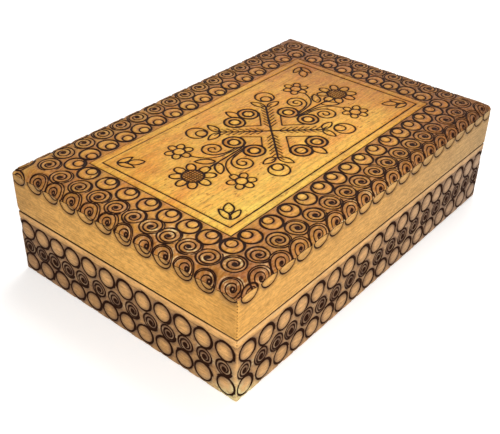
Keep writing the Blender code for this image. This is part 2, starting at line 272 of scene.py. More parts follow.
# Rows and sizes of the lid's ornament: distances from the crease up the board and down the walls
RING_ROW = 20.2
RING_RADIUS = 4.75
INNER_RING_RADIUS = 2.45
INNER_RING_SHIFT = 1.95
SPIRAL_ROW = 10.6
SPIRAL_RADIUS = 5.0
SPIRAL_LEAN = (0.1, -0.3)
CORNER_RING = 19.9
CORNER_SPIRAL = 11.9
SCALLOP_HALF_WIDTH = 4.9
SCALLOP_DROP = 4.3
HEART_HEIGHT = 1.7
HEART_SHIFT = 1.7
FIRST_WHOLE_STAMP = 60
PRESS_DEPTH = 0.55
PRESS_REACH = 3.2

# The two lines round the panel: distance from the box's side, half width and burn
FRAME_LINES = ((24.2, 0.32, 0.66), (28.3, 0.33, 0.90))
FRAME_LINE_DEPTH = 0.24
BACK_LINE_SHARE = 0.74

# Heights of the rows on the base's walls
RIM_LINE_HEIGHT = 28.6
UPPER_ROW = 23.6
MIDDLE_ROW = 14.7
LOWER_ROW = 5.8
DISC_RADIUS = 4.6
LOWER_DISC_RADIUS = 4.5
MIDDLE_SPIRAL_RADIUS = 4.2
MIDDLE_LEAN = (0.2, -0.3)

# Stain of the base's walls, and how much more of it each side has
UPPER_STAIN, MIDDLE_STAIN, LOWER_STAIN = 0.33, 0.75, 0.40
WALL_STAIN, RIM_STAIN = 0.44, 0.17
BASE_TONE = {"front": 0.0, "right": 0.05, "back": 0.05, "left": 0.09}

# The middle motif, in millimetres from the board's centre
MOTIF_CENTER = (0.9, 0.0)
RING_PAIRS = ((-4.4, 18.5), (6.6, 19.1), (-4.4, -21.9), (6.9, -22.2), (-19.3, 6.0), (-18.8, -5.9),
              (21.3, 5.6), (21.9, -6.0))
POINTERS = (((-7.2, 15.2), (1.6, 6.8), (11.2, 15.9)), ((-9.4, -19.4), (1.2, -8.7), (11.8, -19.6)),
            ((-13.2, 6.9), (-6.9, -0.2), (-13.7, -6.4)), ((15.9, 6.3), (8.5, -0.5), (17.2, -8.4)))
SUNFLOWERS = ((-53.3, 0.0), (54.0, -0.6))
DISC_HEART = 5.0
LATTICE = 1.35 * np.arange(-3, 4)

# Half width, depth and burn of each kind of line
LINES = {
    "ring": (0.50, 0.40, 1.0), "ring again": (0.34, 0.30, 0.9), "inner ring": (0.38, 0.34, 0.95),
    "spiral": (0.35, 0.34, 0.92), "spiral again": (0.30, 0.24, 0.85),
    "spiral's heart": (0.50, 0.30, 0.95), "stamp": (0.27, 0.34, 0.92),
    "heart ring": (0.36, 0.34, 0.92), "heart dot": (0.50, 0.34, 0.92),
    "corner stamp": (0.40, 0.34, 0.92), "corner stamp's heart": (0.30, 0.34, 0.92),
    "stamp on the wall": (0.28, 0.28, 0.85), "half round": (0.31, 0.28, 0.85),
    "arm": (0.50, 0.38, 0.95), "barb": (0.28, 0.26, 0.82), "bud": (0.44, 0.34, 0.95),
    "bud's heart": (0.42, 0.30, 0.92), "bud's leaf": (0.40, 0.32, 0.95), "leaf": (0.42, 0.32, 0.95),
    "petal": (0.38, 0.30, 0.90), "stem": (0.38, 0.28, 0.85), "tendril": (0.44, 0.32, 0.88),
    "pair": (0.58, 0.40, 1.0), "pointer": (0.36, 0.28, 0.80), "stalk": (0.48, 0.34, 0.90),
    "sunflower": (0.46, 0.34, 0.95), "ray": (0.42, 0.32, 0.92), "lattice": (0.20, 0.30, 0.76),
    "sprig": (0.36, 0.30, 0.90), "rim line": (0.24, 0.16, 0.42), "disc": (0.42, 0.42, 1.0),
    "disc again": (0.46, 0.36, 1.0), "middle spiral": (0.40, 0.38, 0.90),
    "middle spiral's heart": (0.60, 0.34, 1.0),
}

# Radius, stain and soft rim of the board's patches
PATCHES = {
    # The ring's painted shade darkens the recess between each ring and its inner ring
    "ring": (RING_RADIUS, 0.28), "ring's painted shade": (3.5, 0.58, 1.4),
    "inner ring": (INNER_RING_RADIUS, 0.20), "spiral": (SPIRAL_RADIUS, 0.41),
    "spiral's heart": (1.9, 0.90, 0.9), "stamp": (SCALLOP_HALF_WIDTH, 0.56),
    "short side's stamp": (SCALLOP_HALF_WIDTH, 0.50), "stamp's heart": (2.0, 0.92, 0.9),
    "pair's ring": (5.1, 0.44), "pair's heart": (2.7, 0.18), "sunflower": (DISC_HEART, 0.48),
}

# Spots of the board with wear and painted highlights on its burrs: place, reach along and across
# it, and how strong
WEAR_AND_GLINT_SPOTS = ((-92, -26, 14, 26, 0.7), (-12, -64, 38, 4, 0.6), (-90, -60, 16, 14, 0.5))


def side_to_plan(points, side):
    """From (along the side, up from the crease) to the board's plan with its edges unrolled."""
    quarter = SIDES.index(side)
    half = HALF_Y if quarter % 2 == 0 else HALF_X
    local = np.asarray(points, float) - (SIDE_LENGTH[side] / 2, half)
    return turned(local, quarter)


def jitter(amount):
    return RNG.normal(0, amount, 2)


def border_ornament():
    """Strokes and stain patches of the three rows round the lid's board."""
    strokes, patches = [], []
    for side in SIDES:
        def add(kind, chain):
            strokes.append(burnt(side_to_plan(chain, side), kind))

        def patch(kind, center):
            patches.append(Patch(side_to_plan(center, side), *PATCHES[kind]))

        def ring_pair(center, shift):
            center = np.asarray(center, float) + jitter(0.12)
            inner = center + shift
            add("ring", ring(center, RING_RADIUS))
            add("ring again", doubled(center, RING_RADIUS))
            add("inner ring", ring(inner, INNER_RING_RADIUS))
            patch("ring", center)
            # Painted shade in the recess round the inner ring
            patch("ring's painted shade", (center + 2 * inner) / 3)
            patch("inner ring", inner)

        ring_pair((CORNER_RING, CORNER_RING - EDGE_REACH + EDGE_ARC), (0.9, 1.3))
        for u in ROW_RINGS[side]:
            ring_pair((u, RING_ROW), (RNG.normal(0, 0.25), INNER_RING_SHIFT))
        spirals = [(CORNER_SPIRAL, CORNER_SPIRAL - EDGE_REACH + EDGE_ARC)]
        for center in spirals + [(u, SPIRAL_ROW) for u in ROW_SPIRALS[side]]:
            center = np.asarray(center, float) + jitter(0.15)
            heart = center + SPIRAL_LEAN
            start = math.radians(-35 + RNG.normal(0, 30))
            add("spiral", spiral(center, SPIRAL_RADIUS, 2.8, start, 0.45, SPIRAL_LEAN, 0.55))
            add("spiral's heart", ring(heart, 0.5))
            add("spiral again", doubled(center, SPIRAL_RADIUS, 0.05))
            patch("spiral", center)
            patch("spiral's heart", heart)
        for kind, chain in EDGE_STAMPS[side][0]:
            add(kind, chain)
        for u in SCALLOPS[side]:
            patch("short side's stamp" if side in SHORT_SIDES else "stamp", (u, 2.2))
        for heart in EDGE_STAMPS[side][2]:
            patch("stamp's heart", heart)
    return strokes, patches


def doubled(center, radius, wider=0.22):
    """A second pass of the tool over part of a ring, a little off its line."""
    first = math.radians(RNG.uniform(-70, 20))
    angle = np.linspace(first, first + math.radians(RNG.uniform(120, 200)), 25)
    return around(center + jitter(0.10) + (0.16, 0.14), radius + wider, angle)


def edge_stamps(side):
    """Spirals stamped across the crease, as (along, up from it): the board's and the wall's lines.

    On the short sides a stamp's rings run on down the wall. On the long sides the wall has its
    lower half round alone. The third list holds the spirals' hearts.
    """
    board, wall, hearts = [], [], []
    short = side in SHORT_SIDES
    places = [u + HEART_SHIFT for u in SCALLOPS[side]] if short else EDGE_HEARTS[side]
    for index, (u, place) in enumerate(zip(SCALLOPS[side], places)):
        heart = np.array((place, HEART_HEIGHT)) + jitter(0.12)
        whole = short and u > FIRST_WHOLE_STAMP
        if index == 0:
            half = np.linspace(math.pi, 0, 25)
            for kind, middle, wide, tall in (("corner stamp", u, 4.8, 2.9),
                                             ("corner stamp's heart", u + 0.6, 2.6, 1.3)):
                arch = np.stack([middle + wide * np.cos(half), tall * np.sin(half)], axis=1)
                board.append((kind, arch))
            wall.append(("half round", half_round(u)))
            continue
        if index == len(places) - 1:
            heart[1] += 1.6
            center, size = heart - (0.3, 0.1), (5.4, 5.2)
        elif whole:
            center, size = np.array((u, 0.6)), (5.1, 5.1)
            heart[1] = 1.3
        elif short:
            center, size = np.array((u + 2.0, 1.8)), (5.3, 5.3)
        else:
            center, size = heart - (0.3, 0.1), (6.0, 5.4)
        start = math.radians(198 + RNG.normal(0, 8))
        chain = spiral(center, size, 3.1 if short else 3.3, start, 0.5, heart - center, 0.85)
        board.append(("stamp", chain))
        hearts.append(heart)
        kind, radius = ("heart ring", 0.8) if short else ("heart dot", 0.45)
        board.append((kind, ring(heart, radius)))
        if short:
            wall.append(("stamp on the wall", chain[0 if whole else len(chain) // 3:]))
        if not whole:
            wall.append(("half round", half_round(u)))
    for u in SCALLOPS[side][len(places):]:
        wall.append(("half round", half_round(u)))
    return board, wall, hearts


def half_round(u):
    """The lower half of a stamp's rim, below the crease."""
    angle = np.linspace(0, -math.pi, 25)
    width = SCALLOP_HALF_WIDTH + RNG.normal(0, 0.08)
    drop = SCALLOP_DROP + RNG.normal(0, 0.12)
    return np.stack([u + width * np.cos(angle), 0.3 - (drop + 0.3) * np.abs(np.sin(angle)) ** 0.9],
                    axis=1)


def frame_line_strokes():
    """The lines round the panel, which are fainter along its back."""
    strokes = []
    for inset, half_width, burn in FRAME_LINES:
        x, y = LENGTH / 2 - inset, WIDTH / 2 - inset
        corners = [(-x, -y), (x, -y), (x, y), (-x, y), (-x, -y)]
        for a, b in zip(corners, corners[1:]):
            share = BACK_LINE_SHARE if a[1] > 0 and b[1] > 0 else 1.0
            strokes.append(Stroke(resample([a, b]), half_width * share, FRAME_LINE_DEPTH,
                                  burn * share))
    return strokes


def motif_quarter(right, back):
    """One quarter of the motif, drawn for the back right corner and mirrored into place."""
    strokes = []
    flip = np.array((right, back), float)

    def add(kind, chain):
        strokes.append(burnt(np.asarray(chain, float) * flip + MOTIF_CENTER, kind))

    # The feathered arm
    arm_end = np.array((17.6, 17.8)) + jitter(0.3)
    add("arm", smooth_curve([(-0.4, -0.4), arm_end * 0.5 + jitter(0.15), arm_end]))
    for share in np.linspace(0.14, 0.94, 8):
        root = arm_end * share
        length = 3.6 + RNG.normal(0, 0.25)
        add("barb", [root + (1.0, 0.1), root + (1.0 + length, 0.5)])
        add("barb", [root + (0.1, 1.0), root + (0.5, 1.0 + length * 0.8)])

    # The ring with a small ring in it, and its two leaves
    add("bud", ring((25.3, 24.7), 5.0))
    add("bud's heart", ring((24.1, 22.8), 2.7))
    add("bud's leaf", leaf((18.2, 16.8), (26.2, 16.4), 3.9))
    add("bud's leaf", leaf((17.2, 17.9), (16.1, 26.0), 3.8))

    # The six-petalled flower
    flower = np.array((43.2, 19.0)) + jitter(0.25)
    add("leaf", ring(flower, 2.75))
    for step in range(6):
        angle = math.radians(90 + 60 * step) + RNG.normal(0, 0.05)
        add("petal", petal(flower, angle, 3.0, 6.7, 4.0))

    # Its stem, the tendril that curls beside it, and the leaf beside the sunflower
    add("stem", smooth_curve([(42.8, 12.4), (41.0, 8.6), (38.4, 5.0), (34.6, 2.6), (29.0, 1.5),
                              (21.4, 0.9)]))
    add("tendril", smooth_curve([(23.6, 2.0), (29.6, 2.6), (34.2, 4.6), (36.4, 8.4), (35.4, 12.2),
                                 (31.8, 13.8), (28.2, 12.2), (27.2, 8.8), (28.8, 6.2), (31.6, 5.8),
                                 (33.6, 7.6), (33.4, 10.0), (31.6, 10.9), (30.0, 9.6),
                                 (30.8, 8.0)]))
    add("leaf", leaf((38.8, 0.9), (44.9, 7.8), 4.1))
    return strokes


def motif_ornament():
    strokes = []

    def add(kind, chain):
        strokes.append(burnt(chain, kind))

    for right in (-1, 1):
        for back in (-1, 1):
            strokes.extend(motif_quarter(right, back))
    for center in RING_PAIRS:
        center = np.array(center) + jitter(0.1)
        for kind in ("pair's ring", "pair's heart"):
            add("pair", ring(center, PATCHES[kind][0], 0.02))
            BORDER_PATCHES.append(Patch(center, *PATCHES[kind]))
    for chain in POINTERS:
        add("pointer", chain)
    add("leaf", leaf((0.9, 20.0), (0.8, 28.4), 4.6))
    add("leaf", leaf((1.3, -23.6), (1.4, -32.0), 4.8))
    for center in SUNFLOWERS:
        BORDER_PATCHES.append(Patch(np.array(center), *PATCHES["sunflower"]))
        x, y = center
        facing = -math.copysign(1, x)
        add("stalk", [(x + facing * 9.6, y - 0.5), (facing * -21.0, 0.0)])
        add("sunflower", ring(center, DISC_HEART, 0.02))
        for step in range(8):
            angle = math.radians(45 * step) + RNG.normal(0, 0.04)
            add("ray", petal(center, angle, DISC_HEART + 0.2, 10.2, 4.5))
        for reach in LATTICE:
            half = math.sqrt(DISC_HEART ** 2 - reach ** 2)
            add("lattice", [(x - half, y + reach), (x + half, y + reach)])
            add("lattice", [(x + reach, y - half), (x + reach, y + half)])
    return strokes + corner_sprigs()


def corner_sprigs():
    """Three leaves in each corner of the panel, which fan in from the corner on a short stem."""
    strokes = []
    for right, back, x, y in ((-1, -1, -67.3, -33.6), (1, -1, 69.0, -32.8), (-1, 1, -67.4, 32.3),
                              (1, 1, 67.6, 32.7)):
        flip, root = np.array((right, back), float), np.array((x, y))
        strokes.append(burnt([root, root + flip * (-3.0, -3.3)], "sprig"))
        for low, tip, width in (((0, 0), (-8.0, -1.2), 3.2), ((0, 0), (-2.3, -8.4), 3.2),
                                ((-3.0, -3.3), (-8.9, -8.5), 4.4)):
            chain = leaf(root + flip * low, root + flip * tip + jitter(0.2), width)
            strokes.append(burnt(chain, "petal"))
    return strokes


def wall_ornament(side):
    """Strokes and patches of one base wall, in (along the side, height)."""
    strokes = [burnt([(0, RIM_LINE_HEIGHT), (SIDE_LENGTH[side], RIM_LINE_HEIGHT)], "rim line")]
    patches = []
    for places, height, radius, stain in (
            (UPPER_DISCS, UPPER_ROW, DISC_RADIUS, UPPER_STAIN),
            (LOWER_DISCS, LOWER_ROW, LOWER_DISC_RADIUS, LOWER_STAIN + BASE_TONE[side])):
        for u in places[side]:
            center = np.array((u, height)) + jitter(0.08)
            strokes.append(burnt(ring(center, radius, 0.02), "disc"))
            strokes.append(burnt(doubled(center, radius, 0.34), "disc again"))
            patches.append(Patch(center, radius, stain))
    for u in MIDDLE_SPIRALS[side]:
        center = np.array((u, MIDDLE_ROW)) + jitter(0.15)
        start = math.radians(-40 + RNG.normal(0, 40))
        chain = spiral(center, MIDDLE_SPIRAL_RADIUS, 2.8, start, 0.4, MIDDLE_LEAN, 0.5)
        strokes.append(burnt(chain, "middle spiral"))
        strokes.append(burnt(ring(center + MIDDLE_LEAN, 0.5), "middle spiral's heart"))
        patches.append(Patch(center, MIDDLE_SPIRAL_RADIUS + 0.3, MIDDLE_STAIN))
    return strokes, patches


EDGE_STAMPS = {side: edge_stamps(side) for side in SIDES}


# Carving: how deep and how burnt each point of a face is

def distance_to_chain(points, chain):
    """Each point's distance to a chain of short segments."""
    start, run = chain[:-1], np.diff(chain, axis=0)
    offset = points[:, None, :] - start[None]
    share = unit((offset * run).sum(2) / (run ** 2).sum(1))
    gap = offset - share[..., None] * run
    return np.sqrt((gap ** 2).sum(2).min(1))


def uneven(points):
    """A slow wave over the plan, between -1 and 1, which makes the lines swell and thin."""
    x, y = points.T
    return np.sin(0.9 * x + 1.7 * np.sin(0.37 * y)) * np.cos(0.8 * y + 1.3 * np.sin(0.31 * x))


def carve(points, strokes, singe):
    """The depth, heat, scorching and burrs that the strokes leave at each point."""
    depth, burr, heat, scorch = np.zeros((4, len(points)))
    for stroke in strokes:
        low, high = stroke.points.min(0) - STROKE_MARGIN, stroke.points.max(0) + STROKE_MARGIN
        near = np.flatnonzero(((points > low) & (points < high)).all(1))
        if near.size == 0:
            continue
        gap = distance_to_chain(points[near], stroke.points)
        reach = gap / (stroke.half_width * (1 + LINE_SWELL * uneven(points[near])))
        groove = stroke.depth * np.exp(-0.5 * reach ** 2) + SAG_DEPTH * np.exp(-gap / SAG_REACH)
        for whole, left in ((depth, groove),
                            (burr, bell(gap - stroke.half_width - BURR_GAP, BURR_WIDTH)),
                            (heat, stroke.burn * np.exp(-0.55 * reach ** 4)),
                            (scorch, stroke.burn * np.exp(-gap / singe))):
            whole[near] = np.maximum(whole[near], left)
    burr *= unit(1 - heat / 0.5)
    return depth - BURR_HEIGHT * burr * unit(1 - depth / 0.25), heat, scorch, burr


def stain_of(points, patches, ground):
    stain = np.array(ground, float)
    for patch in patches:
        inner = patch.radius - np.linalg.norm(points - patch.center, axis=1)
        share = unit(inner / patch.soft) if patch.soft else inner > 0
        stain += share * (patch.stain - stain)
    return stain


# Meshing one convex flat region, so that its points follow the strokes

def edge_points(corners, step):
    points = []
    for a, b in zip(corners, corners[1:] + corners[:1]):
        a, b = np.array(a, float), np.array(b, float)
        count = max(1, int(math.ceil(np.linalg.norm(b - a) / step)))
        points.extend(a + (b - a) * k / count for k in range(count))
    return np.array(points)


def inside_margin(points, corners, margin):
    keep = np.ones(len(points), bool)
    for a, b in zip(corners, corners[1:] + corners[:1]):
        a, b = np.array(a, float), np.array(b, float)
        run = (b - a) / np.linalg.norm(b - a)
        keep &= (points - a) @ np.array((-run[1], run[0])) > margin
    return keep


def thin_out(points, cell):
    """Keep the first point in each cell."""
    key = np.floor(points / cell).astype(np.int64)
    key = key[:, 0] * 1000003 + key[:, 1]
    first = np.unique(key, return_index=True)[1]
    return points[np.sort(first)]


def stroke_points(strokes):
    rows = []
    for share in (0, 0.6, -0.6, 1.15, -1.15, 1.9, -1.9):
        for stroke in strokes:
            run = np.gradient(stroke.points, axis=0)
            run /= np.maximum(np.linalg.norm(run, axis=1), 1e-9)[:, None]
            normal = np.stack([-run[:, 1], run[:, 0]], axis=1)
            rows.append(stroke.points + share * stroke.half_width * normal)
    return np.vstack(rows)


def ground_points(corners, step):
    low, high = np.min(corners, axis=0), np.max(corners, axis=0)
    x = np.arange(low[0] + step / 2, high[0], step)
    y = np.arange(low[1] + step / 2, high[1], step * 0.87)
    grid = np.stack(np.meshgrid(x, y), axis=-1)
    grid[1::2, :, 0] += step / 2
    return grid.reshape(-1, 2)


def mesh_region(corners, strokes, fine_zone=None):
    """Points and triangles of a convex region. The first points run round its rim."""
    rim = edge_points(corners, RIM_STEP)
    lines = stroke_points(strokes)
    lines = thin_out(lines[inside_margin(lines, corners, LINE_MARGIN)], LEAST_STEP)
    ground = ground_points(corners, GROUND_STEP)
    if fine_zone is not None:
        fine = ground_points(corners, EDGE_STEP)
        ground = np.vstack([ground[~fine_zone(ground)], fine[fine_zone(fine)]])
    ground = ground[inside_margin(ground, corners, GROUND_MARGIN)]
    taken = set(map(tuple, np.floor(lines / CELL).astype(int)))
    free = [tuple(cell) not in taken for cell in np.floor(ground / CELL).astype(int)]
    points = np.vstack([rim, lines, ground[np.array(free, bool)]])
    loop = list(range(len(rim)))
    result = delaunay_2d_cdt([Vector(p) for p in points], [], [loop], 1, 1e-5)
    found, faces = np.array([tuple(v) for v in result[0]]), result[2]
    assert len(found) == len(points), "two points of a region fell together"
    return found, [tuple(face) for face in faces], len(rim)


# From flat regions to the real faces, in millimetres

def round_corner(far, near, gap, radius):
    """Bend a point close to a mitre round the vertical corner.

    The far and near values are its distances from the two side planes, where near is the smaller,
    and the gap is its distance from the mitre.
    """
    room = np.maximum(radius - near, 1e-6)
    angle = (1 - unit(gap / room)) * math.pi / 4
    bent = (gap < room) & (radius > near)
    return (np.where(bent, near + room * (1 - np.sin(angle)), far),
            np.where(bent, near + room * (1 - np.cos(angle)), near))


def board_surface(points):
    """The lid's board, from its unrolled plan."""
    half = np.array((LENGTH / 2, WIDTH / 2))
    past = np.abs(points) - (half - EDGE_REACH)
    bend = np.clip(past / EDGE_RADIUS, 0, None)
    inset = np.where(past > 0, EDGE_REACH - EDGE_RADIUS * np.sin(bend), EDGE_REACH - past)
    drop = EDGE_RADIUS * (1 - np.cos(bend.max(1)))
    x_first = inset[:, 0] < inset[:, 1]
    near, far = inset.min(1), inset.max(1)
    far, near = round_corner(far, near, far - near, LID_CORNER)
    inset = np.stack([np.where(x_first, near, far), np.where(x_first, far, near)], axis=1)
    place = np.sign(points) * (half - inset)
    return np.column_stack([place, TOP - drop])


def wall_surface(side, bottom, top, corner, lower, upper):
    """A function from (along the side, height) to one wall's outer face."""
    length = SIDE_LENGTH[side]

    def surface(points):
        u, z = points.T
        below = unit((bottom + lower - z) / lower)
        above = unit((z - top + upper) / upper) if upper else 0
        inset = lower * (1 - np.sqrt(1 - below ** 2)) + upper * (1 - np.sqrt(1 - above ** 2))
        from_end = np.minimum(u, length - u)
        end, depth = round_corner(np.maximum(from_end, inset), inset, from_end, corner)
        return side_points(side, np.where(u < length / 2, end, length - end), depth, z)

    return surface


def normals_of(surface, points):
    step = 0.04
    across = surface(points + (step, 0)) - surface(points - (step, 0))
    up = surface(points + (0, step)) - surface(points - (0, step))
    normal = np.cross(across, up)
    return normal / np.maximum(np.linalg.norm(normal, axis=1), 1e-12)[:, None]


def side_points(side, along, inset, height):
    """Points of one side from their distances along, in from the face and up."""
    quarter = SIDES.index(side)
    half = SIDE_LENGTH[SIDES[quarter - 1]] / 2
    plan = turned(np.stack([along - SIDE_LENGTH[side] / 2, inset - half], axis=1), quarter)
    return np.column_stack([plan, height])


def make_piece(name, sheet, faces, rings, values, materials, body):
    """A closed piece: the carved sheet, then rings of points that lead to its flat back.

    The values are those of the FIELDS at the sheet's points.
    """
    outer, rim = len(faces), len(rings[0])
    points = np.vstack([sheet] + rings)
    starts = [0] + [len(sheet) + k * rim for k in range(len(rings))]
    faces = list(faces)
    for near, far in zip(starts, starts[1:]):
        for k in range(rim):
            after = (k + 1) % rim
            faces.append((near + after, near + k, far + k, far + after))
    faces.append(tuple(starts[-1] + k for k in reversed(range(rim))))
    mesh = bpy.data.meshes.new(name)
    mesh.from_pydata((points * MM).tolist(), [], faces)
    mesh.shade_smooth()
    mesh.set_sharp_from_angle(angle=SHARP_ANGLE)
    for key, value in zip(FIELDS, values):
        full = np.zeros(len(points), np.float32)
        full[:len(sheet)] = value
        mesh.attributes.new(key, "FLOAT", "POINT").data.foreach_set("value", full)
    for material in materials:
        mesh.materials.append(material)
    mesh.polygons.foreach_set("material_index", [int(k >= outer) for k in range(len(faces))])
    piece = in_scene(name, mesh)
    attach(piece, body)
    return piece


def cut_piece(piece, cutters):
    """Cut solids out of a piece, and drop them."""
    for cutter in cutters:
        modifier = piece.modifiers.new("cut", "BOOLEAN")
        modifier.operation = "DIFFERENCE"
        modifier.solver = "MANIFOLD"
        modifier.object = cutter
    bpy.context.view_layer.update()
    evaluated = piece.evaluated_get(bpy.context.evaluated_depsgraph_get())
    mesh = bpy.data.meshes.new_from_object(evaluated)
    piece.modifiers.clear()
    piece.data = mesh
    for cutter in cutters:
        bpy.data.objects.remove(cutter)


def in_scene(name, data):
    """A new object of a mesh, lamp or camera, linked to the scene."""
    made = bpy.data.objects.new(name, data)
    bpy.context.scene.collection.objects.link(made)
    return made


# Materials

class Nodes:
    """The nodes of a material or of the world."""

    def __init__(self, owner):
        owner.use_nodes = True
        self.tree = owner.node_tree

    def join(self, socket, value):
        """Link a socket to another, or give it its own number or colour."""
        if isinstance(value, bpy.types.NodeSocket):
            self.tree.links.new(value, socket)
        elif socket.type == "RGBA":
            socket.default_value = (*value, 1)
        else:
            socket.default_value = value

    def add(self, kind, sockets=(), **settings):
        """A new node's outputs. Its sockets are given by name or place."""
        made = self.tree.nodes.new("ShaderNode" + kind)
        for key, value in settings.items():
            setattr(made, key, value)
        for key, value in dict(sockets).items():
            self.join(made.inputs[key], value)
        return made.outputs

    def attribute(self, name):
        return self.add("Attribute", attribute_name=name)["Fac"]

    def math(self, operation, a, b, clamp=False):
        return self.add("Math", {0: a, 1: b}, operation=operation, use_clamp=clamp)[0]

    def total(self, a, b, part_of_b, part_of_a=None):
        """A part of one value and a part of another, added up."""
        a = self.math("MULTIPLY", a, part_of_a) if part_of_a else a
        return self.math("ADD", a, self.math("MULTIPLY", b, part_of_b))

    def mix(self, share, a, b, blend="MIX"):
        return self.add("Mix", {0: share, 6: a, 7: b}, data_type="RGBA", blend_type=blend)[2]

    def tint(self, color, by, share=1.0):
        return self.mix(share, color, by, "MULTIPLY")

    def ramp(self, value, *stops):
        made = self.tree.nodes.new("ShaderNodeValToRGB")
        elements = made.color_ramp.elements
        while len(elements) < len(stops):
            elements.new(0.5)
        for element, (place, color) in zip(elements, stops):
            element.position = place
            element.color = (*color, 1) if isinstance(color, tuple) else (color, color, color, 1)
        self.join(made.inputs[0], value)
        return made.outputs[0]

    def noise(self, place, scale, stretch, detail, roughness, shift=0.0):
        """Noise whose grains are 1 / scale metres across, stretched along X, Y and Z."""
        moved = self.add("Mapping", {"Vector": place, "Location": (shift, shift, shift),
                                     "Scale": tuple(scale / s for s in stretch)})[0]
        return self.add("TexNoise", {"Vector": moved, "Scale": 1.0, "Detail": detail,
                                     "Roughness": roughness})[0]

    def bump(self, height, strength, distance):
        return self.add("Bump", {"Strength": strength, "Distance": distance, "Height": height})[0]


def new_material(name):
    """A material, its nodes and the sockets of its shader."""
    material = bpy.data.materials.new(name)
    nodes = Nodes(material)
    return material, nodes, nodes.tree.nodes["Principled BSDF"].inputs


# Layers of the wood's grain: how many to a metre, how long along it, detail, roughness and shift
GRAIN = {
    "clouds": (90.0, 2.0, 6.0, 0.68, 0.0),
    "bands": (300.0, 7.0, 5.0, 0.62, 3.1),
    "streaks": (1300.0, 14.0, 3.0, 0.6, 6.1),
    "speckle": (1100.0, 2.2, 3.0, 0.7, 9.4),
    "flecks": (850.0, 3.2, 2.0, 0.5, 1.3),
    "patches": (420.0, 2.0, 4.0, 0.65, 5.2),
    # This layer breaks up both wear and painted highlights
    "chafing_and_glints": (800.0, 1.6, 3.0, 0.6, 7.7),
}

SCORCHED = (0.085, 0.026, 0.006)
SMOKED = (0.085, 0.050, 0.040)
CHARRED = (0.005, 0.002, 0.001)
CHARRED_THIN = (0.020, 0.006, 0.002)


def wood_material(name, along, pale, deep, glaze, roughness, bare_and_highlight, fleck=0.8, coat=0.0,
                  painted_sheen=None, singe=SCORCHED):
    """Linden wood with its grain along one axis, stained and burnt where the carving says."""
    material, nodes, shader = new_material(name)
    place = nodes.add("TexCoord")["Object"]
    grain = {}
    for layer, (scale, length, *look) in GRAIN.items():
        stretch = tuple(length if axis == along else 1.0 for axis in "XYZ")
        grain[layer] = nodes.noise(place, scale, stretch, *look)
    middle = tuple((p + d) / 2 for p, d in zip(pale, deep))
    mixed = nodes.total(grain["clouds"], grain["bands"], 0.30, 0.70)
    color = nodes.ramp(mixed, (0.37, deep), (0.49, middle), (0.61, pale))
    for layer in ("streaks", "speckle"):
        color = nodes.tint(color, nodes.ramp(grain[layer], (0.38, 0.76), (0.56, 1.0)))
    specks = nodes.ramp(grain["flecks"], (0.30, (0.40, 0.26, 0.16)), (0.36, 1.0))
    color = nodes.tint(color, specks, fleck)

    # Stain that soaks in like a glaze, which also carries painted shade, and scorching beside the
    # burnt lines
    patchy = nodes.ramp(grain["patches"], (0.30, 0.80), (0.66, 1.12))
    stain = nodes.math("MULTIPLY", nodes.attribute("stain"), patchy, True)
    color = nodes.tint(color, nodes.ramp(stain, *glaze))
    # A painted sheen: a tint that stands for the varnish's reflection, paler and bluer where it is
    # strong
    if painted_sheen:
        color = nodes.tint(color, nodes.ramp(nodes.attribute("painted_sheen_share"), *painted_sheen))
    scorch = nodes.math("MULTIPLY", nodes.attribute("scorch"), patchy)
    color = nodes.mix(nodes.ramp(scorch, (0.08, 0.0), (0.35, 0.42), (0.80, 0.95)), color, singe)

    # Wood that rubbing has paled, painted highlights on burrs and edges, and the charred grooves
    wear_and_highlight = nodes.attribute("wear_and_highlight")
    chafed_and_glinting = nodes.ramp(grain["chafing_and_glints"], (0.43, 0.3), (0.58, 1.0))
    bare_and_highlight_color = nodes.mix(nodes.ramp(wear_and_highlight, (0.35, 0.0), (0.75, 1.0)), *bare_and_highlight)
    color = nodes.mix(nodes.math("MULTIPLY", wear_and_highlight, chafed_and_glinting, True), color, bare_and_highlight_color)
    fuzzy = nodes.total(nodes.attribute("charring"), grain["speckle"], 0.14)
    burn = nodes.ramp(fuzzy, (0.38, 0.0), (0.72, 1.0))
    char = nodes.mix(patchy, CHARRED, CHARRED_THIN)
    nodes.join(shader["Base Color"], nodes.mix(burn, color, char))

    # Gloss that wears and a skin that follows the grain
    dull = nodes.ramp(grain["clouds"], (0.30, roughness - 0.05), (0.70, roughness + 0.07))
    nodes.join(shader["Roughness"], nodes.total(dull, burn, 0.22))
    shader["Specular IOR Level"].default_value = 0.03
    shader["Coat Weight"].default_value = coat
    shader["Coat Roughness"].default_value = 0.14
    skin = nodes.total(grain["streaks"], grain["speckle"], 0.5, 0.5)
    nodes.join(shader["Normal"], nodes.bump(skin, 0.35, 0.14 * MM))
    return material


def brass_material(name, color, roughness):
    """Brushed brass with brown tarnish."""
    material, nodes, shader = new_material(name)
    place = nodes.add("TexCoord")["Object"]
    brushed = nodes.noise(place, 5200.0, (30.0, 1.0, 1.0), 3.0, 0.6)
    tarnish = nodes.noise(place, 380.0, (1.0, 1.0, 1.0), 5.0, 0.65, 2.4)
    brown = tuple(c * f for c, f in zip(color, (0.55, 0.45, 0.35)))
    tone = nodes.ramp(tarnish, (0.34, brown), (0.56, color))
    tone = nodes.tint(tone, nodes.ramp(brushed, (0.3, 0.82), (0.7, 1.0)))
    nodes.join(shader["Base Color"], tone)
    shader["Metallic"].default_value = 1.0
    rough = nodes.ramp(tarnish, (0.35, roughness + 0.22), (0.60, roughness))
    nodes.join(shader["Roughness"], rough)
    nodes.join(shader["Normal"], nodes.bump(brushed, 0.25, 0.06 * MM))
    return material


BOARD_PALE = (1.0, 0.715, 0.120)
BOARD_DEEP = (0.90, 0.45, 0.060)
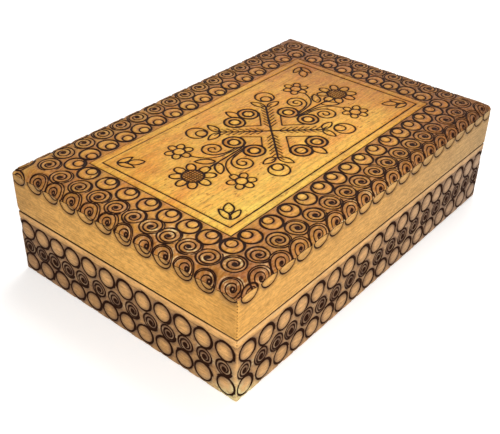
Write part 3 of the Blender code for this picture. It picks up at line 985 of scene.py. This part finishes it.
# Pale wood, then the cream of painted highlights
BOARD_BARE_AND_HIGHLIGHT = ((0.84, 0.44, 0.22), (0.86, 0.72, 0.36))
WALL_PALE = (0.89, 0.495, 0.200)
WALL_DEEP = (0.76, 0.405, 0.145)
BASE_PALE = (0.97, 0.575, 0.345)
BASE_DEEP = (0.86, 0.490, 0.275)
# Pale wood, then the cream of painted highlights
WALL_BARE_AND_HIGHLIGHT = ((0.62, 0.45, 0.26), (0.64, 0.54, 0.27))
INNER_PALE = (0.74, 0.54, 0.31)
INNER_DEEP = (0.60, 0.40, 0.205)

# What the stain leaves of the wood's own colour, as the stain gets stronger
BROWN_GLAZE = ((0.0, (1.0, 1.0, 1.0)), (0.14, (0.98, 0.79, 0.74)), (0.28, (0.81, 0.60, 0.52)),
               (0.42, (0.67, 0.45, 0.38)), (0.70, (0.40, 0.22, 0.16)), (1.0, (0.15, 0.062, 0.04)))
UMBER_GLAZE = ((0.0, (1.0, 1.0, 1.0)), (0.20, (0.86, 0.84, 0.84)), (0.40, (0.70, 0.69, 0.72)),
               (0.70, (0.42, 0.39, 0.43)), (1.0, (0.11, 0.115, 0.14)))
# Tints of the painted sheen, which stands for the varnish's reflection
WALL_PAINTED_SHEEN = ((0.0, (1.0, 0.95, 0.58)), (0.5, (1.0, 1.0, 0.74)), (1.0, (0.84, 0.96, 1.0)))
BOARD_PAINTED_SHEEN = ((0.0, (1.0, 1.0, 1.0)), (1.0, (1.12, 1.38, 2.1)))

board_wood = wood_material("board_wood", "X", BOARD_PALE, BOARD_DEEP, BROWN_GLAZE, 0.36,
                           BOARD_BARE_AND_HIGHLIGHT, 0.8, 0.05, BOARD_PAINTED_SHEEN)
lid_wall_wood = {axis: wood_material(f"lid_wood_{axis}", axis, WALL_PALE, WALL_DEEP, UMBER_GLAZE,
                                     0.40, WALL_BARE_AND_HIGHLIGHT, 0.15, 0.03, WALL_PAINTED_SHEEN) for axis in "XY"}
base_wood = {axis: wood_material(f"base_wood_{axis}", axis, BASE_PALE, BASE_DEEP, UMBER_GLAZE,
                                 0.48, WALL_BARE_AND_HIGHLIGHT, 0.15, 0.0, WALL_PAINTED_SHEEN, SMOKED) for axis in "XY"}
plain_wood = {axis: wood_material(f"plain_wood_{axis}", axis, INNER_PALE, INNER_DEEP, UMBER_GLAZE,
                                  0.60, WALL_BARE_AND_HIGHLIGHT) for axis in "XY"}
hinge_brass = brass_material("hinge_brass", (0.80, 0.56, 0.22), 0.28)
pin_brass = brass_material("pin_wire", (0.62, 0.55, 0.43), 0.32)


# The lid's board: a middle panel and four bands mitred at the corners

BORDER_STROKES, BORDER_PATCHES = border_ornament()
LINE_STROKES = frame_line_strokes()
MOTIF_STROKES = motif_ornament()
PANEL_X = LENGTH / 2 - FRAME_LINES[0][0]
PANEL_Y = WIDTH / 2 - FRAME_LINES[0][0]


def border_share(points):
    inset = np.minimum(LENGTH / 2 - np.abs(points[:, 0]), WIDTH / 2 - np.abs(points[:, 1]))
    return unit((FRAME_LINES[0][0] - inset) / 0.4)


def board_ground(points):
    """Stain of the board where no patch lies: a brown border and a yellow panel.

    The panel gets darker toward its back and right as painted shade, with a painted highlight at
    its front left.
    """
    across, back = points.T
    # Painted shade: the panel gets darker toward its back and right, and a little in its middle
    panel = 0.15 + 0.10 * unit((back + 10) / 45) * (1 + 0.6 * unit(across / 40))
    panel += 0.13 * bell(across - 5, 55) * bell(back, 20) + 0.34 * unit((across - 30) / 40) ** 1.5
    # A painted highlight on the front left of the panel
    painted_highlight = bell(back + 36, 18) * unit(0.4 - across / 90)
    brown = 0.54 - 0.18 * bell(across + 84, 15) * bell(back + 12, 40, 4)
    border = border_share(points)
    return border * brown + (1 - border) * unit(panel - 0.12 * painted_highlight)


def border_tone_and_painted_shade(points):
    """How much darker the border gets: painted shade toward its right end and its back, and darker
    by its near corner.
    """
    across, back = points.T
    near = bell(across + LENGTH / 2, 38) * bell(back + WIDTH / 2, 38)
    shade = 0.40 * unit((across - 10) / 90) + 0.15 * near + 0.16 * near ** 2.5 - 0.05
    shade += 0.12 * unit((across - 40) / 40) * unit(-back / 50) + 0.14 * unit(back / 55)
    return border_share(points) * shade


def far_rim_painted_sheen(points):
    """1 along the rounded edge at the back and the right, where a painted grey sheen stands for the
    varnish's reflection.
    """
    return unit((17 - (np.array((HALF_X, HALF_Y)) - points).min(1)) / 6)


def board_wear_and_highlight(points, burr):
    """Wear and painted highlights: a little everywhere, painted highlights on burrs by the near
    corner and along the front crease.
    """
    across, back = points.T
    wear_and_glint = sum(share * bell(across - x, wide) * bell(back - y, deep)
                 for x, y, wide, deep, share in WEAR_AND_GLINT_SPOTS)
    arcs = unit(0.35 + 0.9 * uneven(points * 0.6 + 7.0))
    ticks = unit(0.4 + 0.9 * np.sin(across * 4.4))
    # A painted highlight along the front crease
    crease = 0.9 * ticks * bell(HALF_Y + back, 0.30) * bell(across + 12, 42, 4)
    border = 0.18 + burr * (0.06 + wear_and_glint * arcs) + crease
    return np.where(border_share(points) > 0.5, border, 0.08)


def press_depth(points, places, spread):
    """How far the stamps push the wood in round their places."""
    share = np.full(len(points), np.inf)
    for place in places:
        share = np.minimum(share, (((points - place) / spread) ** 2).sum(1))
    return PRESS_DEPTH * unit(1 - share), share < 1


def build_board_piece(name, corners, strokes, singe):
    def on_edge(points):
        return (np.abs(points) > np.array((LENGTH, WIDTH)) / 2 - EDGE_REACH - 1).any(1)

    points, faces, rim = mesh_region(corners, strokes, on_edge)
    depth, heat, scorch, burr = carve(points, strokes, singe)
    for index, side in enumerate(SIDES):
        places = [side_to_plan((u, 0), side) for u in SCALLOPS[side]]
        spread = np.roll((SCALLOP_HALF_WIDTH, PRESS_REACH), index)
        depth = np.maximum(depth, press_depth(points, places, spread)[0])
    sheet = board_surface(points) - depth[:, None] * normals_of(board_surface, points)
    sheet[:, 2] = np.maximum(sheet[:, 2], CREASE)
    # The border's stain also takes painted shade toward its right end and back
    stain = stain_of(points, BORDER_PATCHES, board_ground(points)) + border_tone_and_painted_shade(points)
    back = sheet[:rim] * (BACK_SHARE, BACK_SHARE, 0)
    back[:, 2] = CREASE
    # The last field is the painted sheen along the far rounded edges
    values = (heat, scorch, stain, board_wear_and_highlight(points, burr), far_rim_painted_sheen(points))
    return make_piece(name, sheet, faces, [back], values, (board_wood, plain_wood["X"]), "lid")


def build_board():
    """The middle panel and the four bands round it."""
    panel = [(-PANEL_X, -PANEL_Y), (PANEL_X, -PANEL_Y), (PANEL_X, PANEL_Y), (-PANEL_X, PANEL_Y)]
    pieces = [build_board_piece("lid_board_panel", panel, LINE_STROKES + MOTIF_STROKES,
                                SINGE_REACH["panel"])]
    outer = [(-HALF_X, -HALF_Y), (HALF_X, -HALF_Y), (HALF_X, HALF_Y), (-HALF_X, HALF_Y)]
    for index, side in enumerate(SIDES):
        after = (index + 1) % 4
        corners = [outer[index], outer[after], panel[after], panel[index]]
        pieces.append(build_board_piece(f"lid_board_{side}_band", corners,
                                        BORDER_STROKES + LINE_STROKES, SINGE_REACH["band"]))
    for piece in pieces:
        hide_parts("lid_top_panel")


def rect_rings(side, rim, bottom, top, profile):
    """Rings that carry a wall's rim to its back, from (inset, height) pairs at foot and top."""
    length = SIDE_LENGTH[side]
    share = (rim[:, 1] - bottom) / (top - bottom)
    rings = []
    for low_inset, low_height, high_inset, high_height in profile:
        inset = low_inset + (high_inset - low_inset) * share
        height = low_height + (high_height - low_height) * share
        along = inset + rim[:, 0] / length * (length - 2 * inset)
        rings.append(side_points(side, along, inset, height))
    return rings


def end_line(points, length):
    """The dotted dark line at a wall's mitred ends."""
    gap = np.minimum(points[:, 0], length - points[:, 0])
    dots = 0.5 + 0.5 * np.sin(points[:, 1] * 2 * math.pi / 1.5)
    return 0.80 * bell(gap, 0.36) * dots


def seam_line(points, side, seam):
    """The dark line along the seam, which gets stronger away from the near corner."""
    share = points[:, 0] / SIDE_LENGTH[side]
    far = 1 - share if side == "left" else share
    strong = unit(2 * far) if side == "left" else 0
    dark = 0.60 + 0.22 * unit(5 * far) + 0.10 * strong
    return dark * bell(points[:, 1] - seam, 0.17 + 0.25 * strong, 4)


def wall_corners(side, bottom, top):
    length = SIDE_LENGTH[side]
    return [(0, bottom), (length, bottom), (length, top), (0, top)]


def build_base_wall(side):
    strokes, patches = wall_ornament(side)
    points, faces, rim = mesh_region(wall_corners(side, 0, BASE_TOP), strokes)
    surface = wall_surface(side, 0, BASE_TOP, BASE_CORNER, FOOT_EASING, SEAM_EASING)
    depth, heat, scorch, burr = carve(points, strokes, SINGE_REACH["base"])
    height, far = points[:, 1], far_share(points, side)
    depth *= unit(np.minimum(height / 0.8, (BASE_TOP - height) / 0.5))
    sheet = surface(points) - depth[:, None] * safe_normals(surface, points, 0, BASE_TOP)
    ground = np.where(height < RIM_LINE_HEIGHT, WALL_STAIN + BASE_TONE[side], RIM_STAIN)
    stain = stain_of(points, patches, ground)
    in_rim = height > RIM_LINE_HEIGHT
    heat = np.maximum(heat, seam_line(points, side, BASE_TOP))
    heat = np.maximum(heat, end_line(points, SIDE_LENGTH[side]) * in_rim)

    # Wear at the near corner's foot, painted highlights on some of the middle row's burrs, and a
    # painted highlight just under the seam
    near = side in NEAR_SIDES
    corner = far * SIDE_LENGTH[side]
    wear_and_glint = near * 1.6 * np.maximum(bell(corner, 15) * bell(height, 5.5),
                                     bell(corner, 4.5) * bell(height, 13))
    glint = unit(0.25 + 0.9 * uneven(points * 0.7)) * (0.55 + near * 0.45 * bell(corner, 17))
    in_middle = np.abs(height - MIDDLE_ROW) < 5
    wear_and_highlight = np.maximum(wear_and_glint * (0.80 + 0.20 * burr), burr * glint * in_middle)
    # A painted highlight along the rim just under the seam, stronger at the front
    seam_highlight = 0.55 if side == "front" else 0.25
    wear_and_highlight = np.maximum(wear_and_highlight, seam_highlight * bell(BASE_TOP - 0.85 - height, 0.42))
    stain *= 1 - 0.55 * unit(wear_and_glint)
    # Painted shade: the short sides darker toward their far ends
    stain += 0.14 * far ** 3 if side in SHORT_SIDES else 0
    values = (heat, scorch, stain, wear_and_highlight, painted_sheen(far, side) - 0.25 * in_rim)
    profile = ((REBATE_WIDTH, 0, 3.0, BASE_TOP), (REBATE_WIDTH, REBATE_HEIGHT, 5.5, BASE_TOP),
               (WALL, REBATE_HEIGHT, WALL, BASE_TOP))
    rings = rect_rings(side, points[:rim], 0, BASE_TOP, profile)
    along = "Y" if side in SHORT_SIDES else "X"
    piece = make_piece(f"base_{side}_board", sheet, faces, rings, values,
                       (base_wood[along], plain_wood[along]), "base")
    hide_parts(f"base_{side}_wall")
    return piece


def far_share(points, side):
    """0 at a side's end by the near corner or the one across from it, 1 at its other end."""
    share = points[:, 0] / SIDE_LENGTH[side]
    return 1 - share if side in SHORT_SIDES else share


def painted_sheen(far, side):
    """How strong the painted sheen is, which stands for the varnish's reflection and pales the wood
    toward grey: most at the long sides' far ends.
    """
    return 0.40 * far ** 2 if side in SHORT_SIDES else 0.12 + 0.9 * far


def safe_normals(surface, points, bottom, top):
    """Normals taken just inside a wall's foot and top, where its face can be differenced."""
    inner = points.copy()
    inner[:, 1] = np.clip(inner[:, 1], bottom + NORMAL_MARGIN, top - NORMAL_MARGIN)
    return normals_of(surface, inner)


def build_lid_wall(side):
    top = CREASE - CREASE_GAP
    strokes = [burnt(chain + (0, CREASE), kind) for kind, chain in EDGE_STAMPS[side][1]]
    points, faces, rim = mesh_region(wall_corners(side, LID_BOTTOM, top), strokes)
    surface = wall_surface(side, LID_BOTTOM, top, LID_CORNER, SEAM_EASING, 0)
    depth, heat, scorch, burr = carve(points, strokes, SINGE_REACH["lid"])
    far = far_share(points, side)
    # Painted shade: the walls get darker toward their far ends, and the short walls are also darker
    # close to their near end
    if side in SHORT_SIDES:
        stain = 0.04 + 0.18 * bell(far, 0.28) + 0.15 * bell(far, 0.05)
        stain += 0.40 * unit(2 * far - 1) ** 2
    else:
        stain = 0.17 + 0.10 * far ** 2
    pressed, in_stamp = press_depth(points, [(u, CREASE) for u in SCALLOPS[side]],
                                    np.array((SCALLOP_HALF_WIDTH, SCALLOP_DROP)))
    depth = np.maximum(depth, pressed)
    stain += in_stamp * (0.10 if side in SHORT_SIDES else 0.02)
    # Paler wear and painted highlights inside the pressed stamps and on the burrs
    wear_and_highlight = np.where(in_stamp, 0.12, burr * 0.2)
    heat = np.maximum.reduce([heat, 0.85 * in_stamp * bell(top - points[:, 1], 0.45),
                              end_line(points, SIDE_LENGTH[side]),
                              seam_line(points, side, LID_BOTTOM)])
    sheet = surface(points) - depth[:, None] * safe_normals(surface, points, LID_BOTTOM, top)
    profile = ((WALL / 2, LID_BOTTOM, WALL / 2, top), (WALL, LID_BOTTOM, WALL, top))
    rings = rect_rings(side, points[:rim], LID_BOTTOM, top, profile)
    along = "Y" if side in SHORT_SIDES else "X"
    piece = make_piece(f"lid_{side}_board", sheet, faces, rings,
                       (heat, scorch, stain, wear_and_highlight, painted_sheen(far, side)),
                       (lid_wall_wood[along], plain_wood[along]), "lid")
    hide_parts(f"lid_{side}_wall")
    return piece


def prism(outline, x0, x1):
    """A cutting solid that runs along X, from its outline in (y, z)."""
    bm = bmesh.new()
    ends = [[bm.verts.new((x, *p)) for p in outline] for x in (x0, x1)]
    bm.faces.new(reversed(ends[0]))
    bm.faces.new(ends[1])
    for k in range(len(outline)):
        bm.faces.new((ends[0][k - 1], ends[0][k], ends[1][k], ends[1][k - 1]))
    bmesh.ops.recalc_face_normals(bm, faces=bm.faces)
    mesh = bpy.data.meshes.new("cutter")
    bm.to_mesh(mesh)
    bm.free()
    return in_scene("cutter", mesh)


def hinge_cutters(kind, depth):
    """The seats of both hinges' knuckles and leaves in one edge of the seam."""
    cutters = []
    turn = np.linspace(0, 2 * math.pi, 48, endpoint=False)
    for hinge in ("hinge_left", "hinge_right"):
        low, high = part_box(f"{hinge}_{kind}_leaf")
        pin_low, pin_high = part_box(f"{hinge}_pin")
        pin = (pin_low + pin_high) / 2
        y, z = low.y - FIT_GAP * MM, pin.z + depth * MM
        knuckles = around((pin.y, pin.z), KNUCKLE_SEAT * MM, turn)
        leaf_seat = [(y, pin.z), (pin.y, pin.z), (pin.y, z), (y, z)]
        for outline in (knuckles, leaf_seat):
            cutters.append(prism(outline, low.x - FIT_GAP * MM, high.x + FIT_GAP * MM))
    return cutters


def chamfer_cutter():
    """The wedge that comes off the lid's back lower edge."""
    y, z = WIDTH / 2 * MM, LID_BOTTOM * MM
    slope = CHAMFER_HEIGHT / CHAMFER_DEPTH
    over = 1.0 * MM
    low = (y - CHAMFER_DEPTH * MM - over, z - over * slope)
    high = (y + over, z + CHAMFER_HEIGHT * MM + over * slope)
    half = LENGTH / 2 * MM + over
    return prism([low, (high[0], low[1]), high], -half, half)


def build_walls():
    for side in SIDES:
        base = build_base_wall(side)
        lid = build_lid_wall(side)
        if side == "back":
            cut_piece(base, hinge_cutters("base", -LEAF_SEAT))
            cut_piece(lid, hinge_cutters("lid", LEAF_SEAT) + [chamfer_cutter()])
        elif side != "front":
            cut_piece(lid, [chamfer_cutter()])


def dress_nodes():
    """Materials on the CAD nodes that stay in view."""
    for name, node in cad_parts.items():
        material = None
        if name == "base_bottom_panel":
            material = plain_wood["X"]
        elif name.endswith("_pin"):
            material = pin_brass
        elif name.startswith("hinge_"):
            material = hinge_brass
        if material:
            node.data.materials.clear()
            node.data.materials.append(material)


# Floor, light and camera

FLOOR_HALF_WIDTH = 6.0
CAMERA_PLACE = (-0.2705, -0.2089, 0.2438)
CAMERA_LOOK = (0.63755, 0.51835, -0.56996)
CAMERA_RIGHT = (0.64115, -0.76717, 0.01949)
FOCAL_SHARE = 819.25 / 500
SENSOR_WIDTH = 36.0


def build_camera():
    data = bpy.data.cameras.new("camera")
    data.sensor_fit = "HORIZONTAL"
    data.sensor_width = SENSOR_WIDTH
    data.lens = FOCAL_SHARE * SENSOR_WIDTH
    data.clip_start, data.clip_end = 0.01, 20
    camera = in_scene("camera", data)
    look = Vector(CAMERA_LOOK).normalized()
    right = Vector(CAMERA_RIGHT)
    right = (right - look * right.dot(look)).normalized()
    turn = Matrix((right, right.cross(look), -look)).transposed().to_4x4()
    camera.matrix_world = Matrix.Translation(CAMERA_PLACE) @ turn
    bpy.context.scene.camera = camera


def build_floor():
    """White paper, a little under the box's foot so that the two faces don't fight."""
    mesh = bpy.data.meshes.new("floor")
    x = FLOOR_HALF_WIDTH
    mesh.from_pydata([(-x, -x, 0), (x, -x, 0), (x, x, 0), (-x, x, 0)], [], [(0, 1, 2, 3)])
    floor = in_scene("floor", mesh)
    floor.location.z = -0.2 * MM
    material, nodes, shader = new_material("white_paper")
    shader["Base Color"].default_value = (0.86, 0.855, 0.85, 1)
    shader["Roughness"].default_value = 0.9
    shader["Specular IOR Level"].default_value = 0.1
    shader["Emission Color"].default_value = (1, 1, 1, 1)
    nodes.join(shader["Emission Strength"], nodes.math("MULTIPLY", seen_directly(nodes), 0.36))
    mesh.materials.append(material)


def seen_directly(nodes):
    """1 for camera, glossy and transmission rays, so that the white ground shows in them."""
    path = nodes.add("LightPath")
    some = nodes.math("MAXIMUM", path["Is Camera Ray"], path["Is Glossy Ray"])
    return nodes.math("MAXIMUM", some, path["Is Transmission Ray"])


def build_world():
    world = bpy.data.worlds.new("studio")
    bpy.context.scene.world = world
    nodes = Nodes(world)
    sky = nodes.tree.nodes["Background"].inputs
    level = nodes.math("ADD", 0.40, nodes.math("MULTIPLY", seen_directly(nodes), 0.60))
    nodes.join(sky["Strength"], level)
    sky["Color"].default_value = (1, 1, 1, 1)


def add_lamp(name, place, target, size, power, color=(1, 1, 1)):
    data = bpy.data.lights.new(name, "AREA")
    data.shape = "DISK"
    data.size, data.energy, data.color = size, power, color
    lamp = in_scene(name, data)
    lamp.location = place
    lamp.rotation_euler = (Vector(target) - Vector(place)).to_track_quat("-Z", "Y").to_euler()


def build_lights():
    add_lamp("key", (-0.36, -0.38, 0.25), (-0.03, -0.03, 0.03), 0.35, 2.2, (1.0, 0.98, 0.95))
    add_lamp("sky", (0.48, 0.08, 1.02), (0, 0, 0), 0.6, 5.5)
    add_lamp("fill", (0.75, 0.55, 0.62), (-0.02, -0.02, 0.05), 0.5, 1.4)


bpy.context.scene.view_settings.view_transform = "Standard"
build_board()
build_walls()
dress_nodes()
build_floor()
build_world()
build_lights()
build_camera()
